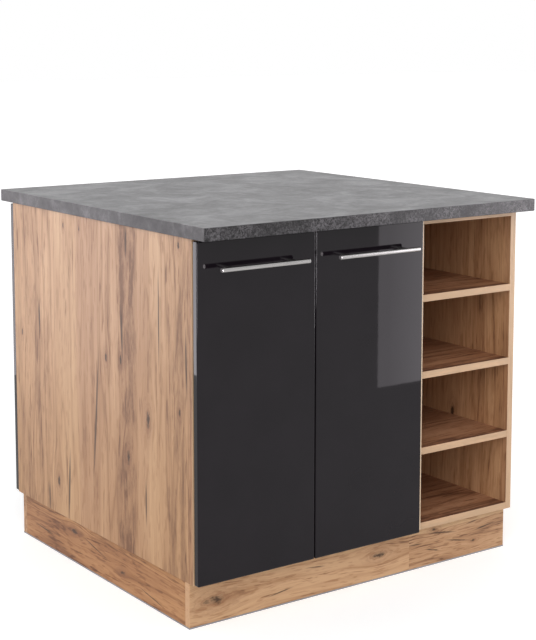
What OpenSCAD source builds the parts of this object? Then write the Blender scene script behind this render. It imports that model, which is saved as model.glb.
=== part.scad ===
// Kitchen island unit: a free-standing block of base cabinets under one worktop.
// The front (-Y) has a double-door cabinet and an open shelf unit, the rear (+Y) has three doors.
// Millimetres, +Z up, origin on the floor under the middle of the worktop.

/* [Cabinets] */
// Width of the double-door cabinets
cabinet_w = 600; // [500:10:800]
// Width of the open shelf unit and of the single-door cabinet behind it
narrow_w = 300; // [250:10:450]
// Depth of one row of cabinets, from its front edges to the middle of the island
row_d = 400; // [350:10:500]
// Height of the carcass, from the plinth to the worktop
carcass_h = 720; // [650:10:800]
// Thickness of the carcass boards
board_t = 16; // [14:1:20]
// Thickness of the back panels
back_t = 3; // [3:1:6]
// Distance of a back panel from the middle of the island
back_inset = 10; // [8:1:20]
// Depth of the groove that holds a back panel
groove_d = 8; // [5:1:9]
// Width of the stretcher rails under the worktop
rail_w = 90; // [60:5:120]

/* [Worktop] */
// Thickness of the worktop
top_t = 28; // [22:1:40]
// How far the worktop stands out past the side panels
top_side = 5; // [0:1:30]
// How far the worktop stands out past the door faces
top_front = 37.5; // [30:0.5:80]

/* [Plinth and legs] */
// Height of the space under the carcass
leg_h = 100; // [90:5:150]
// Thickness of the plinth boards
plinth_t = 16; // [12:1:19]
// How far the plinth stands back from the front edges of the carcass
plinth_back = 20; // [15:1:60]
// How far the plinth stands back from the side panels
plinth_side = 3; // [2:1:20]
// Diameter of a leg's tube
leg_d = 30; // [24:1:36]
// Diameter of a leg's foot disc
foot_d = 54; // [44:1:60]
// Side of a leg's square socket plate
socket_w = 60; // [54:1:70]
// Distance of a leg's axis from the ends of its cabinet
leg_side = 50; // [45:1:70]
// Distance of the outer legs' axes from the front edges of the carcass
leg_front = 74; // [70:1:100]
// Distance of the inner legs' axes from the middle of the island
leg_mid = 50; // [40:1:80]

/* [Doors] */
// Thickness of the doors
door_t = 16; // [15:1:19]
// Gap between two doors side by side
door_gap = 3; // [2.6:0.2:5]
// Gap between a closed door's back and the carcass
door_back_gap = 1.5; // [1.3:0.1:2.5]
// Gap between a door and the worktop
door_top_gap = 4; // [2:1:10]
// How far a door's bottom edge is above the carcass's
door_bottom_gap = 1; // [0:1:5]

/* [Handles] */
// Diameter of the handle bars
bar_d = 10; // [8:1:14]
// Length of the handle bars
bar_l = 220; // [180:4:240]
// Distance between a handle's two posts
post_cc = 160; // [96:32:160]
// Diameter of a post
post_d = 8; // [6:1:10]
// Distance from the door face to the bar's axis
bar_out = 32; // [24:1:32]
// Distance of the bar's axis below the door's top edge
bar_drop = 57; // [30:1:120]

/* [Hinges] */
// Bore of the hinge cups
cup_d = 35; // [33:1:38]
// Depth of the hinge cups
cup_depth = 12; // [11:0.5:13]
// Distance of a cup's centre from the door's edge
cup_edge = 22.5; // [21.5:0.5:25]
// Distance of the hinges from the door's top and bottom edges
hinge_end = 100; // [80:5:160]
// Distance of the mounting plates' screws from the carcass front
plate_set = 37; // [35:1:40]
// Distance between the two screws of a mounting plate
plate_cc = 32; // [28:4:32]

/* [Open shelf] */
// Number of shelves between the open unit's top and bottom boards
shelf_n = 3; // [1:1:5]
// Thickness of the open unit's back board
shelf_back_t = 8; // [6:1:16]

/* [Inner shelves] */
// Height of the cabinets' loose shelves above the carcass bottom
loose_z = 352; // [200:8:500]
// How far a loose shelf stands back from the carcass front
loose_back = 30; // [25:1:60]
// Diameter of the shelf pins
pin_d = 5; // [4:1:6]
// Spacing of the rows of shelf pin holes
pin_pitch = 32; // [25:1:50]
// Distance of the pin holes from a loose shelf's front and back edges
pin_in = 37; // [25:1:60]

/* [Hidden] */
$fn = 48;

// Clearances
over = 1;        // how far a cut runs past the face it starts from
fit = 0.1;       // round piece in its hole, on the radius
slip = 0.2;      // board in its groove, on each side
loose = 1;       // loose shelf to the cabinet side
floor_gap = 0.5; // plinth to carcass

// Colours
oak = "#bd9570";
oak_dark = "#a07850";
slate = "#6f6f72";
gloss_black = "#2c2a2e";
steel = "#c4c2be";
nickel = "#b4b2ac";
black_plastic = "#1d1d1e";
white_board = "#dddad2";

// Carcass
x_left = -(cabinet_w + narrow_w) / 2;
x_right = -x_left;
x_join = x_left + cabinet_w;
z_low = leg_h;
z_high = leg_h + carcass_h;
face_y = row_d + door_back_gap + door_t;
wide = [x_left + board_t, x_join - board_t];      // inner faces of the wide cabinets
narrow = [x_join + board_t, x_right - board_t];   // inner faces of the narrow ones
groove = [-back_inset - back_t - slip, -back_inset + slip];
panel_in = groove_d - slip;

// Loose shelves and their pins
loose_front = -row_d + loose_back;
loose_rear = groove[0] - loose;
pin_y = [loose_front + pin_in, loose_rear - pin_in];
pin_z = z_low + loose_z - pin_d / 2;
pin_deep = 9;
pin_out = 8;
collar_d = pin_d + 3;
collar_t = 0.8 * loose;

// Open unit
open_gap = (carcass_h - (shelf_n + 2) * board_t) / (shelf_n + 1);
open_step = open_gap + board_t;

// Bolts that join the cabinets, and screws that hold the worktop
bolt_d = 5;
bolt_head_d = 12;
bolt_head_t = 2;
bolt_in = 120;
bolt_z = [z_low + board_t + open_gap / 2, z_high - board_t - open_gap / 2];
screw_d = 4;
screw_head_d = 8;
screw_head_t = 3;
screw_bite = 12;
screw_in = 60;
rail_front = [-row_d, -row_d + rail_w];
rail_rear = [groove[0] - rail_w, groove[0]];

// Legs and plinth
leg_x = [x_left + leg_side, x_join - leg_side, x_join + leg_side, x_right - leg_side];
leg_y_outer = row_d - leg_front;
plate_t = 4;
boss_wall = 3.5;
boss_h = 24;
rib_t = 2;
rib_drop = 3;        // how far the socket's ribs end above its boss
foot_edge = 2;
foot_rim = 6;
foot_h = 9;
nut_w = 4;           // how far the foot's collar stands out from the tube
nut_low = 12;
nut_high = 24;
plinth_x = [x_left + plinth_side, x_right - plinth_side];
plinth_y = row_d - plinth_back;
plinth_top = leg_h - floor_gap;
clip_h = 12;
clip_z = leg_h / 2 - clip_h / 2;
clip_wall = 2.4;
clip_pad = [40, 24];

// Doors, from the hinge-side front corner: u along the door, v into the cabinet
door_low = z_low + door_bottom_gap;
door_high = z_high - door_top_gap;
front_v = door_t + door_back_gap;         // front edges of the carcass
panel_u = board_t - door_gap / 2;         // inner face of the board that carries the hinge
hinge_z = [door_low + hinge_end, door_high - hinge_end];
bumper_d = 8;
bumper_t = door_back_gap - slip;
bumper_in = 11;
FRONT_LEFT = [-1, -1, x_left, x_left + cabinet_w / 2];
FRONT_RIGHT = [-1, 1, x_left + cabinet_w / 2, x_join];
REAR_OUTER = [1, -1, x_left, x_left + cabinet_w / 2];
REAR_INNER = [1, 1, x_left + cabinet_w / 2, x_join];
REAR_SINGLE = [1, 1, x_join, x_right];
ALL_DOORS = [FRONT_LEFT, FRONT_RIGHT, REAR_OUTER, REAR_INNER, REAR_SINGLE];
function door_w(d) = d[3] - d[2] - door_gap;

// Hinge: cup, cranked arm on its mounting plate, and the link between them
cup_wall = 0.8;
cup_r = cup_d / 2 - fit;
flange_t = 1;
flange_r = cup_d / 2 + 2;
ear_z = 24;
ear_r = 6;
pivot_u = 15.5;      // the arm's rivet from its board's inner face
pivot_v = 2.3;       // and from the carcass front
tip_u = 13.6;        // the link's tip from the cup's centre
tip_v = 8.9;         // and from the door's back
arm_pivot = [panel_u + pivot_u, front_v + pivot_v];
link_tip = [cup_edge - tip_u, door_t - tip_v];
link_run = link_tip - arm_pivot;
link_l = norm(link_run);
link_turn = atan2(link_run[1], link_run[0]);
link_w = 8;
link_t = 2;
link_eye_r = 2.7;
link_tip_r = 1.3;
rivet_r = 1.5;
arm_w = 12;
arm_t = 1.2;
arm_high = 12;
arm_low = 4;
arm_tail = 22;       // arm behind the plate's screws
arm_back = plate_set + arm_tail;
heel_v = 6;          // start of the channel's edges
bend_v = 12;         // where the channel reaches its height
cheek_lip = 2;
cheek_r = 3;
wing_t = 2;
wing_w = 12;
block_w = link_w - 2 * slip;
block_v = [-16, 18];

module box(lo, hi) {
  translate(lo) cube(hi - lo);
}

module flip_x(on) {
  if (on) mirror([1, 0, 0]) children();
  else children();
}

module flip_y(on) {
  if (on) mirror([0, 1, 0]) children();
  else children();
}

// Turn a shape's axis from Z to X, or to Y
module along_x() {
  rotate([0, 90, 0]) children();
}

module along_y() {
  rotate([-90, 0, 0]) children();
}

// Worktop

module worktop_screw_places() {
  for (y = [rail_front, rail_rear], x = [wide[0] + screw_in, wide[1] - screw_in])
    for (side = [-1, 1]) translate([x, side * (y[0] + y[1]) / 2, 0]) children();
  for (y = [rail_front, rail_rear], x = [narrow[0] + screw_in, narrow[1] - screw_in])
    for (side = [-1, 1]) translate([x, side * (y[0] + y[1]) / 2, 0]) children();
}

module screw_holes() {
  worktop_screw_places()
    translate([0, 0, z_high - board_t - over])
      cylinder(r = screw_d / 2 + fit, h = board_t + over + screw_bite + over);
}

module worktop() {
  out = [x_right + top_side, face_y + top_front];
  color(slate) difference() {
    box([-out[0], -out[1], z_high], [out[0], out[1], z_high + top_t]);
    screw_holes();
  }
}

module worktop_screws() {
  color(steel) worktop_screw_places() {
    translate([0, 0, z_high - board_t - screw_head_t]) cylinder(d = screw_head_d, h = screw_head_t);
    translate([0, 0, z_high - board_t - screw_head_t])
      cylinder(d = screw_d, h = screw_head_t + board_t + screw_bite);
  }
}

// Upright boards. The inner face is at inner_x and looks towards facing.

module pin_places(rows) {
  for (row = rows, y = pin_y) translate([0, -row * y, pin_z]) children();
}

module bolt_places() {
  for (side = [-1, 1], z = bolt_z) translate([x_join, side * (row_d - bolt_in), z]) children();
}

module upright(inner_x, facing, rows) {
  difference() {
    translate([inner_x, 0, 0]) flip_x(facing < 0) difference() {
      box([-board_t, -row_d, z_low], [0, row_d, z_high]);
      for (row = rows) flip_y(row > 0)
        box([-groove_d, groove[0], z_low - over], [over, groove[1], z_high + over]);
      pin_places(rows)
        for (k = [-1:1]) translate([-pin_deep, 0, k * pin_pitch])
          along_x() cylinder(r = pin_d / 2 + fit, h = pin_deep + over);
    }
    bolt_places()
      along_x() cylinder(r = bolt_d / 2 + fit, h = 2 * board_t + 2 * over, center = true);
  }
}

module side_panel_left() {
  color(oak) upright(wide[0], 1, [-1, 1]);
}

module side_panel_right() {
  color(oak) upright(narrow[1], -1, [1]);
}

module partition_left() {
  color(white_board) upright(wide[1], -1, [-1, 1]);
}

module partition_right() {
  color(oak) upright(narrow[0], 1, [1]);
}

module connector_bolts() {
  grip = 2 * board_t;
  color(nickel) bolt_places() along_x() {
    cylinder(d = bolt_d, h = grip + 2 * bolt_head_t, center = true);
    for (end = [-1, 1]) translate([0, 0, end * (grip + bolt_head_t) / 2])
      cylinder(d = bolt_head_d, h = bolt_head_t, center = true);
  }
}

// Closed cabinets. x is the pair of inner faces, row is -1 for the front and 1 for the rear.

module cabinet_bottom(x, row) {
  color(white_board) flip_y(row > 0) difference() {
    box([x[0], -row_d, z_low], [x[1], 0, z_low + board_t]);
    box([x[0] - over, groove[0], z_low + board_t - groove_d],
        [x[1] + over, groove[1], z_low + board_t + over]);
  }
}

module cabinet_back(x, row) {
  color(white_board) flip_y(row > 0)
    box([x[0] - panel_in, groove[0] + slip, z_low + board_t - panel_in],
        [x[1] + panel_in, groove[1] - slip, z_high - loose]);
}

module cabinet_rails(x, row) {
  color(white_board) difference() {
    flip_y(row > 0) for (y = [rail_front, rail_rear])
      box([x[0], y[0], z_high - board_t], [x[1], y[1], z_high]);
    screw_holes();
  }
}

module cabinet_shelf(x, row) {
  color(white_board) flip_y(row > 0)
    box([x[0] + loose, loose_front, z_low + loose_z],
        [x[1] - loose, loose_rear, z_low + loose_z + board_t]);
}

module shelf_pin() {
  translate([-pin_deep + fit, 0, 0]) along_x() cylinder(d = pin_d, h = pin_deep - fit + pin_out);
  along_x() cylinder(d = collar_d, h = collar_t);
}

module shelf_pins() {
  color(nickel) {
    translate([wide[0], 0, 0]) pin_places([-1, 1]) shelf_pin();
    translate([wide[1], 0, 0]) mirror([1, 0, 0]) pin_places([-1, 1]) shelf_pin();
    translate([narrow[0], 0, 0]) pin_places([1]) shelf_pin();
    translate([narrow[1], 0, 0]) mirror([1, 0, 0]) pin_places([1]) shelf_pin();
  }
}

module front_cabinet_bottom() { cabinet_bottom(wide, -1); }
module front_cabinet_back() { cabinet_back(wide, -1); }
module front_cabinet_rails() { cabinet_rails(wide, -1); }
module front_cabinet_shelf() { cabinet_shelf(wide, -1); }
module rear_cabinet_bottom() { cabinet_bottom(wide, 1); }
module rear_cabinet_back() { cabinet_back(wide, 1); }
module rear_cabinet_rails() { cabinet_rails(wide, 1); }
module rear_cabinet_shelf() { cabinet_shelf(wide, 1); }
module rear_narrow_bottom() { cabinet_bottom(narrow, 1); }
module rear_narrow_back() { cabinet_back(narrow, 1); }
module rear_narrow_rails() { cabinet_rails(narrow, 1); }
module rear_narrow_shelf() { cabinet_shelf(narrow, 1); }

// Open shelf unit

module open_board(z) {
  box([narrow[0], -row_d, z], [narrow[1], -shelf_back_t, z + board_t]);
}

module open_unit_top() {
  color(oak) difference() {
    open_board(z_high - board_t);
    screw_holes();
  }
}

module open_unit_bottom() {
  color(oak) open_board(z_low);
}

module open_unit_shelves() {
  color(oak) for (i = [1:shelf_n]) open_board(z_low + i * open_step);
}

module open_unit_back() {
  color(oak_dark) box([narrow[0], -shelf_back_t, z_low], [narrow[1], 0, z_high]);
}

// Plinth

module plinth_front_wide() {
  color(oak) box([plinth_x[0], -plinth_y, 0], [x_join, -plinth_y + plinth_t, plinth_top]);
}

module plinth_front_narrow() {
  color(oak) box([x_join, -plinth_y, 0], [plinth_x[1], -plinth_y + plinth_t, plinth_top]);
}

module plinth_rear() {
  color(oak) box([plinth_x[0], plinth_y - plinth_t, 0], [plinth_x[1], plinth_y, plinth_top]);
}

module plinth_end() {
  box([plinth_x[0], -plinth_y + plinth_t, 0], [plinth_x[0] + plinth_t, plinth_y - plinth_t, plinth_top]);
}

module plinth_left() {
  color(oak) plinth_end();
}

module plinth_right() {
  color(oak) mirror([1, 0, 0]) plinth_end();
}

// A clip grips a leg and holds a plinth board whose back is at -Y, reach away from the leg's axis
module clip(reach) {
  ring_r = leg_d / 2 + fit;
  linear_extrude(clip_h) difference() {
    union() {
      circle(r = ring_r + clip_wall);
      translate([-clip_wall, -reach]) square([2 * clip_wall, reach - ring_r]);
    }
    circle(r = ring_r);
    polygon([[0, 0], [-leg_d, leg_d], [leg_d, leg_d]]);
  }
  translate([-clip_pad[0] / 2, -reach, (clip_h - clip_pad[1]) / 2])
    cube([clip_pad[0], clip_wall, clip_pad[1]]);
}

module plinth_clips() {
  reach_y = plinth_y - plinth_t - leg_y_outer;
  reach_x = leg_side - plinth_side - plinth_t;
  color(black_plastic) {
    for (row = [-1, 1], x = leg_x) flip_y(row > 0)
      translate([x, -leg_y_outer, clip_z]) clip(reach_y);
    for (end = [-1, 1], y = [-leg_mid, leg_mid])
      translate([end * (x_right - leg_side), y, clip_z]) rotate(end * 90) clip(reach_x);
  }
}

// Legs: a socket under the cabinet, and a tube with a screwed foot

module leg_places() {
  for (x = leg_x, y = [-leg_y_outer, -leg_mid, leg_mid, leg_y_outer])
    translate([x, y, 0]) children();
}

module leg_sockets() {
  rib_in = leg_d / 2 + boss_wall - rib_t / 4;
  color(black_plastic) leg_places() difference() {
    union() {
      translate([-socket_w / 2, -socket_w / 2, z_low - plate_t]) cube([socket_w, socket_w, plate_t]);
      translate([0, 0, z_low - boss_h]) cylinder(r = leg_d / 2 + boss_wall, h = boss_h - plate_t / 2);
      for (a = [45:90:315]) rotate(a) translate([0, rib_t / 2, z_low]) rotate([90, 0, 0])
        linear_extrude(rib_t)
          polygon([[rib_in, -plate_t / 2], [rib_in, -boss_h + rib_drop], [socket_w / 2, -plate_t / 2]]);
    }
    translate([0, 0, z_low - boss_h - over])
      cylinder(r = leg_d / 2 + fit, h = boss_h + over - plate_t);
  }
}

module legs() {
  r = leg_d / 2;
  foot_r = foot_d / 2;
  tube_top = z_low - plate_t - slip;
  color(black_plastic) leg_places() rotate_extrude()
    polygon([[0, 0], [foot_r - foot_edge, 0], [foot_r, foot_edge], [foot_r, foot_rim],
             [foot_r - nut_w, foot_h], [r + nut_w, nut_low], [r + nut_w, nut_high - foot_edge],
             [r + nut_w - 1, nut_high], [r, nut_high], [r, tube_top - 1], [r - 1, tube_top],
             [0, tube_top]]);
}

// Doors. d is one of the door lists: row, hinge side, and the door's span along X.

module door_place(d) {
  hinge_x = d[1] < 0 ? d[2] + door_gap / 2 : d[3] - door_gap / 2;
  translate([hinge_x, d[0] * face_y, 0]) flip_x(d[1] > 0) flip_y(d[0] > 0) children();
}

module door(d) {
  color(gloss_black) door_place(d) difference() {
    box([0, 0, door_low], [door_w(d), door_t, door_high]);
    for (z = hinge_z) translate([cup_edge, door_t - cup_depth - cup_wall, z])
      along_y() cylinder(d = cup_d, h = cup_depth + cup_wall + over);
  }
}

// A round bar with bevelled ends on two posts
module handle(d) {
  r = bar_d / 2;
  bevel = 0.6;
  color(steel) door_place(d) translate([door_w(d) / 2, -bar_out, door_high - bar_drop]) {
    translate([-bar_l / 2, 0, 0]) along_x() rotate_extrude()
      polygon([[0, 0], [r - bevel, 0], [r, bevel], [r, bar_l - bevel], [r - bevel, bar_l], [0, bar_l]]);
    for (end = [-1, 1]) translate([end * post_cc / 2, 0, 0])
      along_y() cylinder(d = post_d, h = bar_out);
  }
}

// Outline of the cup's flange, seen along v
module flange_shape() {
  circle(r = flange_r);
  for (end = [-1, 1]) translate([0, end * ear_z]) circle(r = ear_r);
  translate([-ear_r, -ear_z]) square([2 * ear_r, 2 * ear_z]);
}

module hinge_cups(d) {
  inner_r = cup_r - cup_wall;
  color(nickel) door_place(d) for (z = hinge_z) translate([cup_edge, door_t, z]) difference() {
    union() {
      translate([0, -cup_depth - cup_wall + fit, 0]) along_y() cylinder(r = cup_r, h = cup_depth + cup_wall);
      along_y() linear_extrude(flange_t) flange_shape();
    }
    translate([0, -cup_depth + fit, 0]) along_y() cylinder(r = inner_r, h = cup_depth + flange_t + over);
  }
}

// Turns a drawing in u and v into a slab of the given width, centred on the hinge's height
module slab(w) {
  translate([0, 0, -w / 2]) linear_extrude(w) children();
}

module hinge_links(d) {
  waist = 4;
  color(nickel) door_place(d) for (z = hinge_z) translate([arm_pivot[0], arm_pivot[1], z])
    rotate(link_turn) difference() {
      slab(link_w) {
        circle(r = link_eye_r);
        translate([link_l, 0]) circle(r = link_tip_r);
        translate([0, -link_t / 2]) square([link_l, link_t]);
      }
      cylinder(r = rivet_r + fit / 2, h = link_w + 2 * over, center = true);
      translate([link_l / 2, 0, 0]) cube([link_l / 2, 2 * link_t, link_w - waist], center = true);
    }
}

// The arm is a channel that opens towards the board, with two cheeks that hold the link's rivet
module hinge_arm() {
  top_u = panel_u + arm_high;
  low_u = panel_u + arm_low;
  rear_v = front_v + arm_back;
  cheek_w = link_w + 2 * slip;
  out_w = cheek_w + 2 * arm_t;
  difference() {
    union() {
      slab(out_w) polygon([[low_u, front_v + heel_v], [low_u, rear_v], [top_u, rear_v],
                           [top_u, front_v + bend_v],
                           [arm_pivot[0] + cheek_r, arm_pivot[1] + cheek_lip],
                           [arm_pivot[0], arm_pivot[1] + cheek_lip],
                           [arm_pivot[0] - cheek_r, arm_pivot[1]]]);
      translate([arm_pivot[0], arm_pivot[1], 0]) slab(out_w) circle(r = cheek_r);
    }
    slab(cheek_w) polygon([[low_u - over, front_v - over], [low_u - over, rear_v + over],
                           [top_u - arm_t, rear_v + over], [top_u - arm_t, front_v + bend_v + cheek_lip],
                           [top_u + 2 * over, front_v + bend_v - cheek_lip],
                           [arm_pivot[0] + 2 * cheek_r, front_v + bend_v - 2 * cheek_lip],
                           [arm_pivot[0] + 2 * cheek_r, front_v - cheek_r]]);
  }
  translate([arm_pivot[0], arm_pivot[1], 0]) cylinder(r = rivet_r, h = out_w, center = true);
}

module hinge_arms() {
  color(nickel) for (d = ALL_DOORS) door_place(d)
    for (z = hinge_z) translate([0, 0, z]) hinge_arm();
}

// The mounting plate: two screw wings on the board and a raised block that the arm clips over
module hinge_plate() {
  v = front_v + plate_set;
  block_u = panel_u + arm_high - arm_t;
  box([panel_u, v - wing_w / 2, -plate_cc / 2 - wing_w / 2],
      [panel_u + wing_t, v + wing_w / 2, plate_cc / 2 + wing_w / 2]);
  box([panel_u, v + block_v[0], -block_w / 2], [block_u, v + block_v[1], block_w / 2]);
}

module hinge_plates() {
  color(nickel) for (d = ALL_DOORS) door_place(d)
    for (z = hinge_z) translate([0, 0, z]) hinge_plate();
}

module door_bumpers() {
  color(white_board) for (d = ALL_DOORS) door_place(d)
    for (z = [z_low + board_t / 2, z_high - board_t / 2])
      translate([door_w(d) - bumper_in, front_v - bumper_t, z]) along_y()
        cylinder(d = bumper_d, h = bumper_t);
}

module front_left_door() { door(FRONT_LEFT); }
module front_left_handle() { handle(FRONT_LEFT); }
module front_left_hinge_cups() { hinge_cups(FRONT_LEFT); }
module front_left_hinge_links() { hinge_links(FRONT_LEFT); }
module front_right_door() { door(FRONT_RIGHT); }
module front_right_handle() { handle(FRONT_RIGHT); }
module front_right_hinge_cups() { hinge_cups(FRONT_RIGHT); }
module front_right_hinge_links() { hinge_links(FRONT_RIGHT); }
module rear_outer_door() { door(REAR_OUTER); }
module rear_outer_handle() { handle(REAR_OUTER); }
module rear_outer_hinge_cups() { hinge_cups(REAR_OUTER); }
module rear_outer_hinge_links() { hinge_links(REAR_OUTER); }
module rear_inner_door() { door(REAR_INNER); }
module rear_inner_handle() { handle(REAR_INNER); }
module rear_inner_hinge_cups() { hinge_cups(REAR_INNER); }
module rear_inner_hinge_links() { hinge_links(REAR_INNER); }
module rear_single_door() { door(REAR_SINGLE); }
module rear_single_handle() { handle(REAR_SINGLE); }
module rear_single_hinge_cups() { hinge_cups(REAR_SINGLE); }
module rear_single_hinge_links() { hinge_links(REAR_SINGLE); }

worktop();
side_panel_left();
side_panel_right();
partition_left();
partition_right();
front_cabinet_bottom();
front_cabinet_back();
front_cabinet_rails();
front_cabinet_shelf();
rear_cabinet_bottom();
rear_cabinet_back();
rear_cabinet_rails();
rear_cabinet_shelf();
rear_narrow_bottom();
rear_narrow_back();
rear_narrow_rails();
rear_narrow_shelf();
open_unit_top();
open_unit_bottom();
open_unit_back();
open_unit_shelves();
shelf_pins();
plinth_front_wide();
plinth_front_narrow();
plinth_left();
plinth_right();
plinth_rear();
plinth_clips();
leg_sockets();
legs();
hinge_plates();
hinge_arms();
connector_bolts();
worktop_screws();
door_bumpers();
front_left_door();
front_left_handle();
front_left_hinge_cups();
front_left_hinge_links();
front_right_door();
front_right_handle();
front_right_hinge_cups();
front_right_hinge_links();
rear_outer_door();
rear_outer_handle();
rear_outer_hinge_cups();
rear_outer_hinge_links();
rear_inner_door();
rear_inner_handle();
rear_inner_hinge_cups();
rear_inner_hinge_links();
rear_single_door();
rear_single_handle();
rear_single_hinge_cups();
rear_single_hinge_links();
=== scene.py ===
import math

import bmesh
import bpy
from mathutils import Matrix, Vector


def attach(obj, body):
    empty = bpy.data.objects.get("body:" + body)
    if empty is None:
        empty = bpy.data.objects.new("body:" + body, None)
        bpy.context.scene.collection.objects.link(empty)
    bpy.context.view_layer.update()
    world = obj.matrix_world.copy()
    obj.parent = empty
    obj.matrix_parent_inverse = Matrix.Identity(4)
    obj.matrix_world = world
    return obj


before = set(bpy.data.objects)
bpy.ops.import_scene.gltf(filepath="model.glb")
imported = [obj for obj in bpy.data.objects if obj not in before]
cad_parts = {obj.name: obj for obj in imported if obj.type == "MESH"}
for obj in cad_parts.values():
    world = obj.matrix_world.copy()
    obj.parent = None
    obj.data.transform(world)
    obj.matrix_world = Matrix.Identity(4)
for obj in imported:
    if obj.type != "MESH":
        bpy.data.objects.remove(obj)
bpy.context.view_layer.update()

# Legs and sockets: injection-moulded black ABS, screwed under the cabinets and levelled by turning the foot.
# The mould leaves a fine, even grain, so the plastic looks dark grey and soft-edged in the light.


def linear(hex_colour):
    """An sRGB hex colour as linear red, green, blue and alpha."""
    parts = [int(hex_colour[i:i + 2], 16) / 255 for i in (1, 3, 5)]
    return [c / 12.92 if c <= 0.04045 else ((c + 0.055) / 1.055) ** 2.4 for c in parts] + [1.0]


def add(tree, kind, inputs=None, out=0, stops=None, **settings):
    """Adds a node with its settings and gives one of its outputs. An input is a value, a hex colour or the socket
    that feeds it. Map Range takes 0 from between 1 and 2 to between 3 and 4, and Mix lays 7 over 6 by 0."""
    n = tree.nodes.new("ShaderNode" + kind)
    for name, value in settings.items():
        setattr(n, name, value)
    for i, (place, colour) in enumerate(stops or []):
        stop = n.color_ramp.elements[i] if i < 2 else n.color_ramp.elements.new(place)
        stop.position, stop.color = place, linear(colour)
    for name, value in (inputs or {}).items():
        if isinstance(value, bpy.types.NodeSocket):
            tree.links.new(value, n.inputs[name])
        else:
            n.inputs[name].default_value = linear(value) if isinstance(value, str) else value
    return n.outputs[out] if n.outputs else n


def new_finish(name):
    """An empty material and its node tree."""
    material = bpy.data.materials.new(name)
    material.use_nodes = True
    material.node_tree.nodes.clear()
    return material, material.node_tree


def millimetres(tree):
    """Where each point lies on its part, in mm."""
    return add(tree, "VectorMath", {0: add(tree, "TexCoord", out="Object"), 3: 1000.0}, operation="SCALE")


def wear(material, *names):
    """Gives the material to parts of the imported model."""
    for name in names:
        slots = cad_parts[name].data.materials
        slots.clear()
        slots.append(material)


moulded_abs, tree = new_finish("moulded_abs")
mm = millimetres(tree)
grain = add(tree, "TexNoise", {"Vector": mm, "Scale": 1 / 0.9, "Detail": 2.0})  # 0.9 mm, coarser than the real grit
patches = add(tree, "TexNoise", {"Vector": mm, "Scale": 1 / 40, "Detail": 2.0})
shade = add(tree, "ValToRGB", {0: patches}, stops=[(0.3, "#121213"), (0.7, "#1c1c1e")])
dull = add(tree, "MapRange", {0: patches, 3: 0.38, 4: 0.5})
relief = add(tree, "Bump", {"Height": grain, "Strength": 0.35, "Distance": 0.0001})
abs_skin = add(tree, "BsdfPrincipled", {"Base Color": shade, "Roughness": dull, "Normal": relief, "IOR": 1.53})
add(tree, "OutputMaterial", {"Surface": abs_skin})
wear(moulded_abs, "legs", "leg_sockets")

# Plinth clips: the same moulded ABS, pressed over the tubes of the outer legs.
# Each holds a plinth board by its back, so that the board pulls off by hand.
wear(moulded_abs, "plinth_clips")

# Plinth: five boards of 16 mm chipboard faced in printed oak, grain running level, standing on the floor.
# The paper's print carries wide cathedral figure, knots and dark streaks; the lacquer over it is satin.
oak_light, oak_middle, oak_deep = "#d5b793", "#b6936f", "#7d5c42"
knot_brown, knot_black = "#84593c", "#3b2718"


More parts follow.
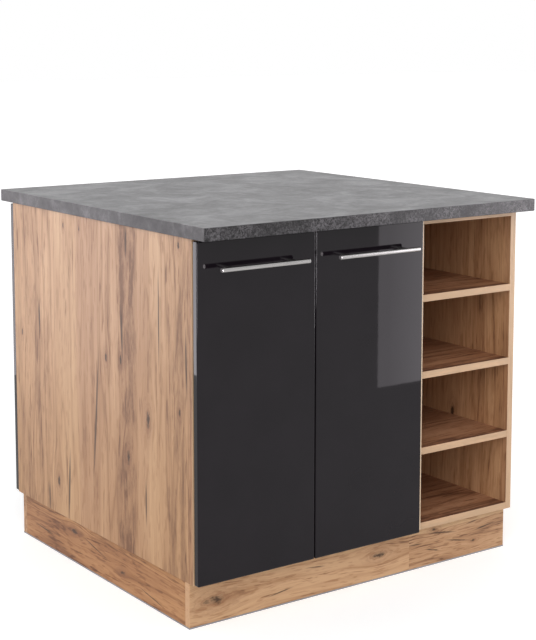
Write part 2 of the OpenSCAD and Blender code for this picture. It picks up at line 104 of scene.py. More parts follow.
def printed_oak(name, along, across, turn=0.0, knots=(), cracks=(), dark_staves=(), band_at=None,
                band="#e2c09b", pale=0.0, tint="#ffffff", coarse=1.0, reach=1.0, crisp=1.0, lively=1.0,
                ends=None):
    """Oak print with its grain along one axis, seen across another. Knots are (across, along, radius), cracks
    (across, along, half width, half length, lean) and dark staves (from, to, depth), all in mm but the depth.
    band_at is the |y| past which an edge band shows. pale lightens the whole print: painted light on the plinth
    fronts, the open unit's upright and the inner face of the right side panel, which stand in shade. coarse widens
    the finest lines, reach draws them out along the grain, crisp deepens the pores and rings and lively the fibres.
    ends is the distance along the grain past which a plain band shows."""
    material, tree = new_finish(name)
    mm = millimetres(tree)
    axes = add(tree, "SeparateXYZ", {0: mm}).node.outputs
    v = axes["XYZ".index(along)]
    u = axes["XYZ".index(across)]
    w = axes[3 - "XYZ".index(along) - "XYZ".index(across)]

    def part(operation, *values):
        return add(tree, "Math", dict(enumerate(values)), operation=operation)

    def figure(across_mm, along_mm, shift, u_at, detail, roughness=0.5):
        """Noise drawn out along the grain."""
        place = add(tree, "CombineXYZ", {0: part("DIVIDE", u_at, across_mm),
                                         1: part("MULTIPLY_ADD", v, 1 / along_mm, shift),
                                         2: part("MULTIPLY_ADD", w, 1 / across_mm, turn)})
        return add(tree, "TexNoise", {"Vector": place, "Scale": 1.0, "Detail": detail, "Roughness": roughness})

    def mixed(amount, under, over, **kind):
        return add(tree, "Mix", {0: amount, 6: under, 7: over}, out=2, data_type="RGBA", **kind)

    drift_mm, stave_mm, soft_border, knot_stretch = 34.0, 95.0, 22.0, 0.42

    # The grain drifts a few centimetres sideways over a board's length, and bends round each knot
    drift = figure(300, 700, turn, u, 1.0)
    u_bent = part("MULTIPLY_ADD", part("SUBTRACT", drift, 0.5), drift_mm, u)
    marks, halo = 0.0, 0.0
    for k_u, k_v, radius in knots:
        du = part("SUBTRACT", u, k_u)
        dv = part("MULTIPLY", part("SUBTRACT", v, k_v), knot_stretch)
        away = add(tree, "VectorMath", {0: add(tree, "CombineXYZ", {0: du, 1: dv})}, out="Value",
                   operation="LENGTH")
        pull = add(tree, "MapRange", {0: away, 1: radius * 0.4, 2: radius * 5, 3: 0.8, 4: 0.0},
                   interpolation_type="SMOOTHSTEP")
        u_bent = part("SUBTRACT", u_bent, part("MULTIPLY", du, pull))
        ragged = part("MULTIPLY_ADD", figure(radius * 1.2, radius * 3, turn, u, 3.0, 0.7), radius * 2.2, away)
        marks = part("MAXIMUM", marks, add(tree, "MapRange", {0: ragged, 1: radius * 1.45, 2: radius * 1.9,
                                                              3: 0.9, 4: 0.0}))
        # Its own growth rings, fading out around it
        coil = part("POWER", part("DIVIDE", part("PINGPONG", ragged, radius * 0.4), radius * 0.4), 2.0)
        near = add(tree, "MapRange", {0: ragged, 1: radius * 1.2, 2: radius * 4.2, 3: 1.0, 4: 0.0},
                   interpolation_type="SMOOTHSTEP")
        halo = part("MAXIMUM", halo, part("MULTIPLY", near, part("MULTIPLY_ADD", coil, 0.5, 0.3)))

    # Staves 50 to 150 mm wide with soft borders, each with its own tint and its own place in the figure
    stave = add(tree, "TexVoronoi", {"W": part("DIVIDE", u_bent, stave_mm), "Scale": 1.0, "Smoothness": 0.3},
                out="Color", voronoi_dimensions="1D", feature="SMOOTH_F1")
    chance = add(tree, "SeparateColor", {0: stave}).node.outputs
    shift = part("MULTIPLY_ADD", chance[0], 3.0, turn)
    growth = part("MULTIPLY", figure(70, 900, shift, u_bent, 2.5, 0.42), 13.0)
    rings = part("POWER", part("PINGPONG", growth, 1.0), 3.0)
    figured = add(tree, "MapRange", {0: chance[2], 1: 0.3, 2: 0.7, 3: -0.08 * crisp, 4: -0.36 * crisp})
    fibres = figure(4.5 * coarse, 150 * reach, shift, u_bent, 4.0, 0.75)
    streaks = figure(22, 420 * reach, shift, u_bent, 4.0, 0.6)
    clouds = figure(120, 260 * reach, turn, u, 3.0, 0.5)
    flames = add(tree, "MapRange", {0: figure(34, 110 * reach, turn, u_bent, 6.0, 0.7), 1: 0.44, 2: 0.64})
    # Open pores and short checks, drawn about three times their real width so that they show
    pores = add(tree, "MapRange", {0: figure(4.5 * coarse, 36 * reach, shift, u_bent, 1.0, 0.6), 1: 0.56, 2: 0.64})
    checks = add(tree, "MapRange", {0: figure(7 * coarse, 105 * reach, shift, u_bent, 2.0, 0.6), 1: 0.64, 2: 0.69})
    # pale raises the whole tone: painted light on boards that stand in shade
    tone = part("MULTIPLY_ADD", part("SUBTRACT", rings, 0.25), figured, 0.6 + pale)
    for noise, share in ((fibres, 0.85), (streaks, 0.5), (clouds, 0.7)):
        tone = part("MULTIPLY_ADD", part("SUBTRACT", noise, 0.5), share * lively, tone)
    tone = part("MULTIPLY_ADD", pores, -0.17 * crisp, part("MULTIPLY_ADD", checks, -0.34 * crisp, tone))
    for low, high, depth in dark_staves:
        inside = part("MULTIPLY", add(tree, "MapRange", {0: u_bent, 1: low, 2: low + soft_border}),
                      add(tree, "MapRange", {0: u_bent, 1: high - soft_border, 2: high, 3: 1.0, 4: 0.0}))
        tone = part("SUBTRACT", tone, part("MULTIPLY", inside, part("MULTIPLY_ADD", flames, depth, 0.4 * depth)))
    colour = add(tree, "ValToRGB", {0: tone}, stops=[(0.1, oak_deep), (0.9, oak_light), (0.52, oak_middle)])
    stave_tint = add(tree, "ValToRGB", {0: chance[1]}, stops=[(0.1, "#ecdcd2"), (0.9, "#fff6e6"), (0.5, "#fbf0e6")])
    colour = mixed(1.0, mixed(1.0, colour, stave_tint, blend_type="MULTIPLY"), tint, blend_type="MULTIPLY")

    # Long drawn-out ellipses, leaning off the grain, with sides that the fibres make ragged
    for c_u, c_v, half_u, half_v, lean in cracks:
        dv = part("SUBTRACT", v, c_v)
        du = part("MULTIPLY_ADD", dv, -lean, part("MULTIPLY_ADD", fibres, 5.0, part("SUBTRACT", u, c_u + 2.5)))
        away = add(tree, "VectorMath", {0: add(tree, "CombineXYZ", {0: part("DIVIDE", du, half_u),
                                                                    1: part("DIVIDE", dv, half_v)})},
                   out="Value", operation="LENGTH")
        marks = part("MAXIMUM", marks, add(tree, "MapRange", {0: away, 1: 0.4, 2: 1.0, 3: 0.85, 4: 0.0}))
    colour = mixed(marks, mixed(halo, colour, knot_brown), knot_black)

    if band_at:
        # An edge band of the same print, 1 mm thick and paler than the face, behind a thin dark glue line
        past = part("SUBTRACT", part("ABSOLUTE", axes[1]), band_at)
        banded = add(tree, "MapRange", {0: past, 1: 0.0, 2: 0.3})
        glue = part("SUBTRACT", 1.0, add(tree, "MapRange", {0: part("ABSOLUTE", past), 1: 0.15, 2: 0.4}))
        colour = mixed(banded, colour, mixed(0.55, colour, band))
        colour = mixed(part("MULTIPLY", glue, 0.5), colour, "#5a4030")

    if ends:
        past = add(tree, "MapRange", {0: part("ABSOLUTE", v), 1: ends, 2: ends + 0.3})
        colour = mixed(past, colour, mixed(0.75, colour, "#cda27b"))

    height = part("MULTIPLY_ADD", pores, -1.0, part("MULTIPLY_ADD", marks, -0.8, part("MULTIPLY", fibres, 0.5)))
    relief = add(tree, "Bump", {"Height": height, "Strength": 0.4, "Distance": 0.00012})
    dull = part("MULTIPLY_ADD", tone, -0.14, 0.58)
    paper = add(tree, "BsdfPrincipled", {"Base Color": colour, "Roughness": dull, "Normal": relief, "IOR": 1.5,
                                         "Specular IOR Level": 0.26})
    add(tree, "OutputMaterial", {"Surface": paper})
    return material


def soften(width_mm, *names):
    """Rounds the parts' edges as the real ones are broken, without changing their meshes."""
    coincident, corner_angle = 0.00001, math.radians(40)
    for name in names:
        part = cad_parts[name]
        weld = part.modifiers.new("join", "WELD")
        weld.merge_threshold = coincident
        edge = part.modifiers.new("edge", "BEVEL")
        edge.width = width_mm / 1000
        edge.segments = 3
        edge.use_clamp_overlap = False
        edge.limit_method = "ANGLE"
        edge.angle_limit = corner_angle
        edge.harden_normals = True


# The two front boards are lightened by pale: painted light against the shade that the doors and carcass cast on them.
wear(printed_oak("oak_plinth_wide", "X", "Z", 3.1, knots=[(48, -378, 14), (56, 60, 9)],
                 cracks=[(30, -215, 2.2, 38, 0.12), (66, -120, 1.6, 30, -0.1)], dark_staves=[(60, 130, 0.1)],
                 pale=0.2, crisp=1.3, ends=446.5),
     "plinth_front_wide")
wear(printed_oak("oak_plinth_narrow", "X", "Z", 4.6, knots=[(84, 225, 5), (34, 350, 4)],
                 cracks=[(72, 250, 2.6, 50, -0.14), (58, 168, 2.2, 26, -0.05), (44, 300, 2.2, 44, -0.2),
                         (62, 385, 2.2, 40, 0.12), (36, 222, 2.0, 30, -0.25), (80, 345, 2.0, 24, 0.1)],
                 dark_staves=[(-20, 130, 0.12)], pale=0.1, crisp=1.55),
     "plinth_front_narrow")
# The end boards take a darker, warmer tint than the front ones: painted warm shade on the island's ends.
end_board_painted_shade = "#ecd8be"
wear(printed_oak("oak_plinth_left", "Y", "Z", 5.7, knots=[(74, 117, 8), (40, -104, 6)],
                 cracks=[(40, 267, 2.0, 60, 0.05), (62, 20, 2.0, 70, 0.2), (22, -230, 2.0, 60, 0.15)],
                 dark_staves=[(50, 130, 0.2)], tint=end_board_painted_shade, coarse=1.3, crisp=1.4),
     "plinth_left")
wear(printed_oak("oak_plinth_right", "Y", "Z", 9.2, knots=[(52, -160, 7)],
                 dark_staves=[(-20, 50, 0.2)], tint=end_board_painted_shade, coarse=1.3, crisp=1.4),
     "plinth_right")
wear(printed_oak("oak_plinth_rear", "X", "Z", 7.4, knots=[(30, 210, 8), (66, -120, 6)],
                 dark_staves=[(40, 130, 0.16)]),
     "plinth_rear")
soften(0.5, "plinth_front_wide", "plinth_front_narrow", "plinth_left", "plinth_right", "plinth_rear")

# Plinth seal: a soft grey PVC lip clipped along the boards' lower edges, which shows as a thin line on the floor.
# It stands 3 mm high and flares out a little where it meets the floor.
seal_length, seal_width, seal_height, seal_thickness, seal_flare = 0.8960, 0.7620, 0.0030, 0.0004, 0.0012


def built(name, shape, material):
    """Makes a finished bmesh into an object of that name in that material."""
    mesh = bpy.data.meshes.new(name)
    shape.to_mesh(mesh)
    shape.free()
    mesh.materials.append(material)
    piece = bpy.data.objects.new(name, mesh)
    bpy.context.scene.collection.objects.link(piece)
    return piece


soft_pvc, tree = new_finish("soft_grey_pvc")
mm = millimetres(tree)
bloom = add(tree, "TexNoise", {"Vector": mm, "Scale": 1 / 25, "Detail": 3.0})
grey = add(tree, "ValToRGB", {0: bloom}, stops=[(0.3, "#77777b"), (0.7, "#8a8a8e")])
dull = add(tree, "MapRange", {0: bloom, 3: 0.4, 4: 0.55})
lip = add(tree, "BsdfPrincipled", {"Base Color": grey, "Roughness": dull, "IOR": 1.54})
add(tree, "OutputMaterial", {"Surface": lip})
seal = bmesh.new()
bmesh.ops.create_cube(seal, size=1.0)
lids = [f for f in seal.faces if abs(f.normal.z) > 0.9]
bmesh.ops.delete(seal, geom=lids, context="FACES_ONLY")
bmesh.ops.scale(seal, verts=seal.verts, vec=(seal_length, seal_width, seal_height))
bmesh.ops.translate(seal, verts=seal.verts, vec=(0, 0, seal_height / 2))
upper = [c for c in seal.verts if c.co.z > seal_height / 2]
bmesh.ops.scale(seal, verts=upper, vec=(1 - seal_flare / seal_length, 1 - seal_flare / seal_width, 1))
standing = [e for e in seal.edges if abs(e.verts[0].co.z - e.verts[1].co.z) > seal_height / 2]
bmesh.ops.subdivide_edges(seal, edges=standing, cuts=2)
bmesh.ops.recalc_face_normals(seal, faces=seal.faces)
bmesh.ops.solidify(seal, geom=seal.faces[:], thickness=seal_thickness)
plinth_seal = built("plinth_seal", seal, soft_pvc)
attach(plinth_seal, "carcass")

# Side panels: one chipboard upright each side, oak print with the grain standing, edge bands front and rear.
# The left one shows its knots and open cracks in a row of narrow and wide staves.
band_line = 399.0  # the boards end 400 mm from the island's middle, with 1 mm of band
wear(printed_oak("oak_side_left", "Z", "Y", 1.3, band_at=band_line, coarse=1.7, reach=1.3, crisp=0.75, lively=0.62,
                 tint="#f8f4f1",
                 knots=[(-48, 519, 6), (-113, 524, 6), (-143, 313, 8), (183, 185, 9), (-226, 412, 9),
                        (144, 790, 4), (69, 790, 4), (363, 508, 5), (-352, 803, 6), (-352, 455, 5)],
                 dark_staves=[(-190, -90, 0.42), (205, 420, 0.14), (-430, -290, 0.2)],
                 cracks=[(0, 376, 6.0, 175, -0.1), (132, 176, 5.5, 105, -0.07), (232, 132, 5.0, 44, 0.0),
                         (271, 560, 5.5, 50, 0.0), (-118, 590, 5.0, 80, 0.04), (-139, 785, 5.0, 44, 0.0),
                         (-272, 640, 4.0, 120, 0.0), (-378, 560, 4.5, 90, 0.02), (-215, 230, 4.5, 60, 0.0)]),
     "side_panel_left")
# The right panel is lightened by pale: painted light for its inner face, which stands in shade inside the open unit.
wear(printed_oak("oak_side_right", "Z", "Y", 12.6, band_at=band_line, coarse=1.5, reach=1.5, crisp=0.85, lively=0.75,
                 pale=0.12, tint="#fbf1ee", band="#d2b696",
                 knots=[(-210, 300, 8), (90, 610, 6), (260, 240, 9), (-60, 455, 5)],
                 dark_staves=[(-30, 70, 0.3), (-420, -240, 0.16)],
                 cracks=[(20, 350, 2.2, 90, 0.02), (-300, 600, 2.0, 60, 0.0)]),
     "side_panel_right")
soften(0.6, "side_panel_left", "side_panel_right")

# Closed cabinets: bottoms, rails, loose shelves and the inner upright, chipboard with white melamine on both faces.
# Melamine is printed over with a faint pearl, so it is an even warm white with a dull sheen.
melamine, tree = new_finish("white_melamine")
mm = millimetres(tree)
pearl = add(tree, "TexNoise", {"Vector": mm, "Scale": 1 / 1.5, "Detail": 2.0})
cast = add(tree, "TexNoise", {"Vector": mm, "Scale": 1 / 180, "Detail": 2.0})
white = add(tree, "ValToRGB", {0: cast}, stops=[(0.3, "#dddad2"), (0.7, "#e4e1da")])
relief = add(tree, "Bump", {"Height": pearl, "Strength": 0.3, "Distance": 0.00006})
dull = add(tree, "MapRange", {0: cast, 3: 0.36, 4: 0.46})
skin = add(tree, "BsdfPrincipled", {"Base Color": white, "Roughness": dull, "Normal": relief, "IOR": 1.5})
add(tree, "OutputMaterial", {"Surface": skin})
white_boards = ["partition_left"] + [cabinet + board for cabinet in ("front_cabinet", "rear_cabinet", "rear_narrow")
                                     for board in ("_bottom", "_rails", "_shelf")]
wear(melamine, *white_boards)
soften(0.5, *white_boards)

# Cabinet backs: 3 mm hardboard with a white painted face, slid down grooves in the uprights.
# The paint is thin, so the board's fibre shows as a faint mottle.
hardboard, tree = new_finish("painted_hardboard")
mm = millimetres(tree)
fibre = add(tree, "TexNoise", {"Vector": mm, "Scale": 1 / 3, "Detail": 4.0})
paint = add(tree, "ValToRGB", {0: fibre}, stops=[(0.3, "#d2cec4"), (0.7, "#dad7ce")])
relief = add(tree, "Bump", {"Height": fibre, "Strength": 0.4, "Distance": 0.0001})
face = add(tree, "BsdfPrincipled", {"Base Color": paint, "Roughness": 0.6, "Normal": relief})
add(tree, "OutputMaterial", {"Surface": face})
wear(hardboard, "front_cabinet_back", "rear_cabinet_back", "rear_narrow_back")

# Shelf pins and connector bolts: turned steel with bright nickel plating, pressed or screwed into drilled rows.
# Nickel is a slightly warm white metal with a soft polish and small scuffs.
nickel, tree = new_finish("nickel_plated_steel")
mm = millimetres(tree)
scuffs = add(tree, "TexNoise", {"Vector": mm, "Scale": 1 / 2.5, "Detail": 3.0})
plating = add(tree, "ValToRGB", {0: scuffs}, stops=[(0.3, "#b9b5ad"), (0.7, "#cbc8c1")])
dull = add(tree, "MapRange", {0: scuffs, 3: 0.2, 4: 0.36})
metal = add(tree, "BsdfPrincipled", {"Base Color": plating, "Metallic": 1.0, "Roughness": dull})
add(tree, "OutputMaterial", {"Surface": metal})
wear(nickel, "shelf_pins", "connector_bolts")

# Open shelf unit: its upright, top, bottom, three shelves and back board, all in the oak print.
# Their front edges carry the paler band; the grain runs along each shelf and up the uprights.
# The upright is lightened by pale and its edge band is near white: painted light on the edge that the door shades.
wear(printed_oak("oak_open_upright", "Z", "Y", 21.4, band_at=band_line, band="#ffe9cc", pale=0.3), "partition_right")
wear(printed_oak("oak_open_shelves", "X", "Y", 15.8, band_at=band_line, band="#ecc8a0", crisp=1.4, tint="#d6c3c4",
                 dark_staves=[(-450, -360, 0.45)]),
     "open_unit_top", "open_unit_bottom", "open_unit_shelves")
wear(printed_oak("oak_open_back", "Z", "X", 18.3, pale=0.08, tint="#f6e8f0"), "open_unit_back")
soften(0.6, "partition_right", "open_unit_top", "open_unit_bottom", "open_unit_shelves")

# Worktop: 28 mm chipboard under a slate-look laminate, with a straight edge of the same laminate.
# Matt grey stone with soft clouds 60 to 150 mm across and fine mottling, its edges darker with pale flecks.
slate, tree = new_finish("slate_laminate")
mm = millimetres(tree)
clouds = add(tree, "TexNoise", {"Vector": mm, "Scale": 1 / 90, "Detail": 5.0, "Roughness": 0.6, "Distortion": 0.7})
mottle = add(tree, "TexNoise", {"Vector": mm, "Scale": 1 / 16, "Detail": 6.0, "Roughness": 0.75})
stone = add(tree, "Math", {0: clouds, 1: 0.6, 2: add(tree, "Math", {0: mottle, 1: 0.4}, operation="MULTIPLY")},
            operation="MULTIPLY_ADD")
top_grey = add(tree, "ValToRGB", {0: stone}, stops=[(0.35, "#4b4a4c"), (0.65, "#7c7b7e"), (0.5, "#636264")])
side_grey = add(tree, "ValToRGB", {0: stone}, stops=[(0.38, "#222022"), (0.62, "#4f4d4f"), (0.5, "#333133")])
grit = add(tree, "TexNoise", {"Vector": mm, "Scale": 1 / 6, "Detail": 3.0, "Roughness": 0.7, "Distortion": 1.2})
patches = add(tree, "TexNoise", {"Vector": mm, "Scale": 1 / 55, "Detail": 3.0})
rough = add(tree, "MapRange", {0: patches, 1: 0.38, 2: 0.62, 3: 1.8, 4: 5.0})
grit = add(tree, "Math", {0: add(tree, "Math", {0: grit, 1: 0.5}, operation="SUBTRACT"), 1: rough,
                          2: add(tree, "MapRange", {0: patches, 1: 0.3, 2: 0.7, 3: 0.05, 4: 0.55})},
           operation="MULTIPLY_ADD", use_clamp=True)
# The long edges lie 455 mm from the middle and the top 848 mm up. The front edge, and the rear one with it, pales
# towards the right: a painted reflection over their darker print.
place = add(tree, "SeparateXYZ", {0: mm}).node.outputs
long_edge = add(tree, "MapRange", {0: add(tree, "Math", {0: place[1]}, operation="ABSOLUTE"), 1: 454.0, 2: 454.8})
painted_reflection_fade = add(tree, "MapRange", {0: place[0], 1: -60.0, 2: 440.0})
dark = add(tree, "Mix", {0: painted_reflection_fade, 6: "#131213", 7: "#434143"}, out=2, data_type="RGBA")
pale = add(tree, "Mix", {0: painted_reflection_fade, 6: "#5c595c", 7: "#7b797b"}, out=2, data_type="RGBA")
long_grey = add(tree, "Mix", {0: grit, 6: dark, 7: pale}, out=2, data_type="RGBA")
edge_grey = add(tree, "Mix", {0: long_edge, 6: side_grey, 7: long_grey}, out=2, data_type="RGBA")
on_top = add(tree, "MapRange", {0: place[2], 1: 847.0, 2: 847.6})
grey = add(tree, "Mix", {0: on_top, 6: edge_grey, 7: top_grey}, out=2, data_type="RGBA")
relief = add(tree, "Bump", {"Height": stone, "Strength": 0.5, "Distance": 0.0003})
dull = add(tree, "MapRange", {0: stone, 1: 0.3, 2: 0.7, 3: 0.5, 4: 0.38})
shine = add(tree, "MapRange", {0: on_top, 3: 0.2, 4: 0.5})
laminate = add(tree, "BsdfPrincipled", {"Base Color": grey, "Roughness": dull, "Normal": relief, "IOR": 1.5,
                                        "Specular IOR Level": shine})
add(tree, "OutputMaterial", {"Surface": laminate})
wear(slate, "worktop")
soften(1.2, "worktop")

# Worktop screws: zinc-plated steel, driven up into the worktop through the rails and the open unit's top.
# Zinc is a cold grey with a faint spangle.
zinc, tree = new_finish("zinc_plated_steel")
mm = millimetres(tree)
spangle = add(tree, "TexVoronoi", {"Vector": mm, "Scale": 1 / 1.2}, out="Color")
plating = add(tree, "ValToRGB", {0: spangle}, stops=[(0.0, "#9fa3a8"), (1.0, "#b9bcc0")])
metal = add(tree, "BsdfPrincipled", {"Base Color": plating, "Metallic": 1.0, "Roughness": 0.36})
add(tree, "OutputMaterial", {"Surface": metal})
wear(zinc, "worktop_screws")

# Doors: 16 mm fibreboard sprayed and polished in black high-gloss lacquer on every face and edge, with the edges
# rounded to about 2.5 mm. It mirrors the room; the polish leaves a faint ripple a few centimetres long.
# Each has its row (-1 front, 1 rear), its hinge side along x and the two x in mm that its opening lies between.
doors = {"front_left": (-1, -1, -450, -150), "front_right": (-1, 1, -150, 150),
         "rear_outer": (1, -1, -450, -150), "rear_inner": (1, 1, -150, 150), "rear_single": (1, 1, 150, 450)}
door_edge_mm = 2.5
lacquer, tree = new_finish("black_gloss_lacquer")
mm = millimetres(tree)
ripple = add(tree, "TexNoise", {"Vector": mm, "Scale": 1 / 26, "Detail": 1.0})
haze = add(tree, "TexNoise", {"Vector": mm, "Scale": 1 / 90, "Detail": 3.0})
black = add(tree, "ValToRGB", {0: haze}, stops=[(0.3, "#151015"), (0.7, "#191419")])
round_edge = add(tree, "Bevel", {"Radius": door_edge_mm / 1000}, samples=6)
relief = add(tree, "Bump", {"Height": ripple, "Strength": 0.25, "Distance": 0.00003, "Normal": round_edge})
gloss = add(tree, "MapRange", {0: haze, 3: 0.015, 4: 0.04})
coat = add(tree, "BsdfPrincipled", {"Base Color": black, "Roughness": gloss, "Normal": relief, "IOR": 1.29})
add(tree, "OutputMaterial", {"Surface": coat})
wear(lacquer, *[door + "_door" for door in doors])
soften(door_edge_mm, *[door + "_door" for door in doors])

# Handles: 10 mm stainless steel bar on two turned posts, brushed along the bar and left plain.
# The brushing draws each reflection out into a soft band along it.
stainless, tree = new_finish("brushed_stainless")
mm = millimetres(tree)
lines = add(tree, "Mapping", {0: mm, 3: (1 / 45, 1 / 0.8, 1 / 0.8)})  # 0.8 mm, coarser than the real brush marks
brushed = add(tree, "TexNoise", {"Vector": lines, "Scale": 1.0, "Detail": 2.0})
shine = add(tree, "ValToRGB", {0: brushed}, stops=[(0.3, "#979594"), (0.7, "#a9a7a6")])
dull = add(tree, "MapRange", {0: brushed, 3: 0.15, 4: 0.24})
relief = add(tree, "Bump", {"Height": brushed, "Strength": 0.1, "Distance": 0.00002})
metal = add(tree, "BsdfPrincipled", {"Base Color": shine, "Metallic": 1.0, "Roughness": dull, "Normal": relief})
add(tree, "OutputMaterial", {"Surface": metal})
wear(stainless, *[door + "_handle" for door in doors])

# Hinges: pressed steel cup, cranked arm, link and mounting plate, all bright nickel plated.
# The cup is pressed into its bore in the door, and the arm is screwed to the plate on the upright.
wear(nickel, "hinge_plates", "hinge_arms",
     *[door + "_hinge_cups" for door in doors], *[door + "_hinge_links" for door in doors])

# Screws of the handles and hinges: zinc-plated, with a domed or flat head and a cross recess.
# Handle screws sit on the inside of the door, cup and plate screws hold the flanges, two more adjust each arm.
# Their places are in mm: in from the door's hinge edge, back from its front face, and apart from the fitting's middle.
hinge_heights, handle_height = (201, 716), 759
half_gap, half_width, door_front = 1.5, 148.5, 417.5
cup_screw_in, cup_screw_back, cup_screw_apart = 22.5, 17.9, 24
handle_screw_back, handle_screw_apart = 18.2, 80
plate_screw_in, plate_screw_back, plate_screw_apart = 17.6, 54.5, 16
arm_screw_in, arm_screw_backs = 27.3, (38.0, 66.0)


def screw_heads(name, places, radius, high):
    """Cross-recessed screw heads. A place is its point in mm and the direction that the head faces."""
    piece = bmesh.new()
    for point, facing in places:
        head = bmesh.new()
        bmesh.ops.create_grid(head, x_segments=5, y_segments=5, size=1.0)
        # The square grid's outer rings are drawn round
        for corner in head.verts:
            square = max(abs(corner.co.x), abs(corner.co.y))
            if square > 0.5:
                corner.co *= square / corner.co.length
            corner.co *= radius
        rim = [e for e in head.edges if e.is_boundary]
        middles = {f: f.calc_center_median() for f in head.faces}
        cross = [f for f, middle in middles.items()
                 if min(abs(middle.x), abs(middle.y)) < 0.15 * radius and middle.length < 0.6 * radius]
        skirt = bmesh.ops.extrude_edge_only(head, edges=rim)["geom"]
        low = [g for g in skirt if isinstance(g, bmesh.types.BMVert)]
        bmesh.ops.translate(head, verts=low, vec=(0, 0, -high))
        pit = bmesh.ops.extrude_face_region(head, geom=cross)["geom"]
        bmesh.ops.delete(head, geom=cross, context="FACES")
        pit = [g for g in pit if isinstance(g, bmesh.types.BMVert)]
        bmesh.ops.translate(head, verts=pit, vec=(0, 0, -0.6 * high))
        bmesh.ops.scale(head, verts=pit, vec=(0.75, 0.75, 1))
        rim = [e for e in head.edges if len(e.link_faces) == 2 and all(
            abs(c.co.z) < 1e-6 and c.co.length > 0.95 * radius for c in e.verts)]
        bmesh.ops.bevel(head, geom=rim, offset=0.35 * high, segments=2, profile=0.5, affect="EDGES", material=-1)
        turn = Vector((0, 0, 1)).rotation_difference(Vector(facing)).to_matrix().to_4x4()
        bmesh.ops.transform(head, verts=head.verts, matrix=Matrix.Scale(0.001, 4) @ Matrix.Translation(point) @ turn)
        bmesh.ops.recalc_face_normals(head, faces=head.faces)
        loose = bpy.data.meshes.new(name)
        head.to_mesh(loose)
        piece.from_mesh(loose)
        bpy.data.meshes.remove(loose)
        head.free()
    screws = built(name, piece, zinc)
    return screws


plate_screws, arm_screws = [], []
for door, (row, side, x0, x1) in doors.items():
    edge = x0 + half_gap if side < 0 else x1 - half_gap

    def at(inward, back, height):
        return (edge - side * inward, row * (door_front - back), height)

    behind, aside = (0, -row, 0), (-side, 0, 0)
    flat = [(at(cup_screw_in, cup_screw_back, z + end * cup_screw_apart), behind)
            for z in hinge_heights for end in (-1, 1)]
    domed = [(at(half_width + end * handle_screw_apart, handle_screw_back, handle_height), behind) for end in (-1, 1)]
    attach(screw_heads(door + "_cup_screws", flat, 3.6, 0.9), door + "_door_body")
    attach(screw_heads(door + "_handle_screws", domed, 4.0, 2.2), door + "_door_body")
    plate_screws += [(at(plate_screw_in, plate_screw_back, z + end * plate_screw_apart), aside)
                     for z in hinge_heights for end in (-1, 1)]
    arm_screws += [(at(arm_screw_in, back, z), aside) for z in hinge_heights for back in arm_screw_backs]
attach(screw_heads("hinge_plate_screws", plate_screws, 4.4, 1.1), "carcass")
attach(screw_heads("hinge_arm_screws", arm_screws, 2.8, 0.8), "carcass")

# Door bumpers: clear soft polyurethane dots stuck on the carcass edges where each door lands.
# The gel is a little milky, and its roughness varies with the dust that it picks up.
clear_dot, tree = new_finish("clear_polyurethane")
mm = millimetres(tree)
dust = add(tree, "TexNoise", {"Vector": mm, "Scale": 1 / 2, "Detail": 2.0})
milk = add(tree, "ValToRGB", {0: dust}, stops=[(0.3, "#dfe0dd"), (0.7, "#eeefec")])
dull = add(tree, "MapRange", {0: dust, 3: 0.15, 4: 0.35})
gel = add(tree, "BsdfPrincipled", {"Base Color": milk, "Roughness": dull, "Transmission Weight": 0.7, "IOR": 1.5})
add(tree, "OutputMaterial", {"Surface": gel})
wear(clear_dot, "door_bumpers")

# Studio: a plain pale floor that keeps the object's shadow, an even white sky, and one broad soft lamp from the
# front left and above. Soft boxes that only gloss can see stand off the front, rear, left, left front and right.
floor_half = 30  # metres


def looked_at(tree):
    """1 for a ray from the camera or by way of gloss or glass, and 0 for any other."""
    ray = add(tree, "LightPath").node.outputs
    seen = add(tree, "Math", {0: ray["Is Camera Ray"], 1: ray["Is Glossy Ray"]}, operation="MAXIMUM")
    return add(tree, "Math", {0: seen, 1: ray["Is Transmission Ray"]}, operation="MAXIMUM")


pale_floor, tree = new_finish("pale_floor")
scatter = add(tree, "TexNoise", {"Vector": millimetres(tree), "Scale": 1 / 900, "Detail": 2.0})
plain = add(tree, "ValToRGB", {0: scatter}, stops=[(0.3, "#f6f6f6"), (0.7, "#f8f8f8")])
matt = add(tree, "BsdfPrincipled", {"Base Color": plain, "Roughness": 0.9, "Specular IOR Level": 0.1})
lift = add(tree, "Math", {0: looked_at(tree), 1: 0.33}, operation="MULTIPLY")
whiten = add(tree, "Emission", {"Color": "#ffffff", "Strength": lift})
add(tree, "OutputMaterial", {"Surface": add(tree, "AddShader", {0: matt, 1: whiten})})
floor_shape = bmesh.new()
bmesh.ops.create_grid(floor_shape, x_segments=2, y_segments=2, size=floor_half)
floor = built("floor", floor_shape, pale_floor)


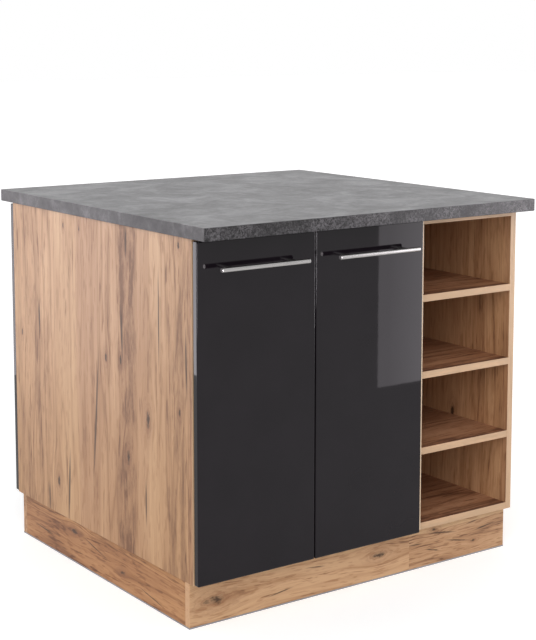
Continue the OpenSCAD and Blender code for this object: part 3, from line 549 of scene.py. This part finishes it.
def soft_box(name, low, high, strength, near_strength=None):
    """A standing lit panel that shows only in reflections. Its corners are in mm. near_strength, where given, is
    what it sinks to from 1.15 m to 1.01 m off the middle of the island."""
    shape = bmesh.new()
    corners = [shape.verts.new((x / 1000, y / 1000, z / 1000)) for x, y, z in
               (low, (high[0], high[1], low[2]), high, (low[0], low[1], high[2]))]
    shape.faces.new(corners)
    material, tree = new_finish(name)
    if near_strength:
        off = add(tree, "SeparateXYZ", {0: add(tree, "TexCoord", out="Object")})
        off = add(tree, "Math", {0: off}, operation="ABSOLUTE")
        strength = add(tree, "MapRange", {0: off, 1: 1.01, 2: 1.15, 3: near_strength, 4: strength})
    glow = add(tree, "Emission", {"Color": "#fffaff", "Strength": strength})
    add(tree, "OutputMaterial", {"Surface": glow})
    panel = built(name, shape, material)
    panel.visible_camera = False
    panel.visible_diffuse = False
    panel.visible_shadow = False
    panel.visible_transmission = False


soft_box("front_soft_box", (965, -1557, 104), (2400, -1557, 1700), 4.75, 3.55)
soft_box("rear_soft_box", (-965, 1557, 104), (-2400, 1557, 1700), 4.75, 3.55)
soft_box("left_soft_box", (-1262, 700, 200), (-1262, 2600, 2200), 6.2)
soft_box("left_front_soft_box", (-1262, -2300, 430), (-1262, -750, 900), 22.0)
soft_box("right_soft_box", (2400, -1557, 104), (2400, -300, 1700), 10.0)

sky = bpy.data.worlds.new("white_studio")
bpy.context.scene.world = sky
sky.use_nodes = True
tree = sky.node_tree
tree.nodes.clear()
level = add(tree, "MapRange", {0: looked_at(tree), 3: 0.7, 4: 1.0})
light = add(tree, "Background", {"Color": "#ffffff", "Strength": level})
add(tree, "OutputWorld", {"Surface": light})

lamp = bpy.data.lights.new("soft_lamp", "SUN")
lamp.energy = 1.25
lamp.angle = math.radians(50)
lamp_aim = Vector((0.46, 0.6, -0.5))
lamp_place = bpy.data.objects.new("soft_lamp", lamp)
lamp_place.rotation_euler = lamp_aim.to_track_quat("-Z", "Y").to_euler()
bpy.context.scene.collection.objects.link(lamp_place)
bpy.context.scene.view_settings.view_transform = "Standard"

# Camera: at the photograph's viewing angle, 3.6 m from the island's middle, beyond its front left corner.
# It is tilted down by 7 degrees and shifted for the rest, so the uprights stay near parallel.
camera_place = (-2.0762, -2.9493, 1.2342)
turn, tilt = math.radians(-35.443), math.radians(7.006)
back = Vector((math.sin(turn) * math.cos(tilt), -math.cos(turn) * math.cos(tilt), math.sin(tilt)))
right = Vector((math.cos(turn), math.sin(turn), 0))
lens = bpy.data.cameras.new("camera")
lens.lens = 85.877
lens.shift_y = -0.16
lens.clip_end = 200
camera = bpy.data.objects.new("camera", lens)
camera.matrix_world = Matrix.Translation(camera_place) @ Matrix(
    (right, back.cross(right), back)).transposed().to_4x4()
bpy.context.scene.collection.objects.link(camera)
bpy.context.scene.camera = camera
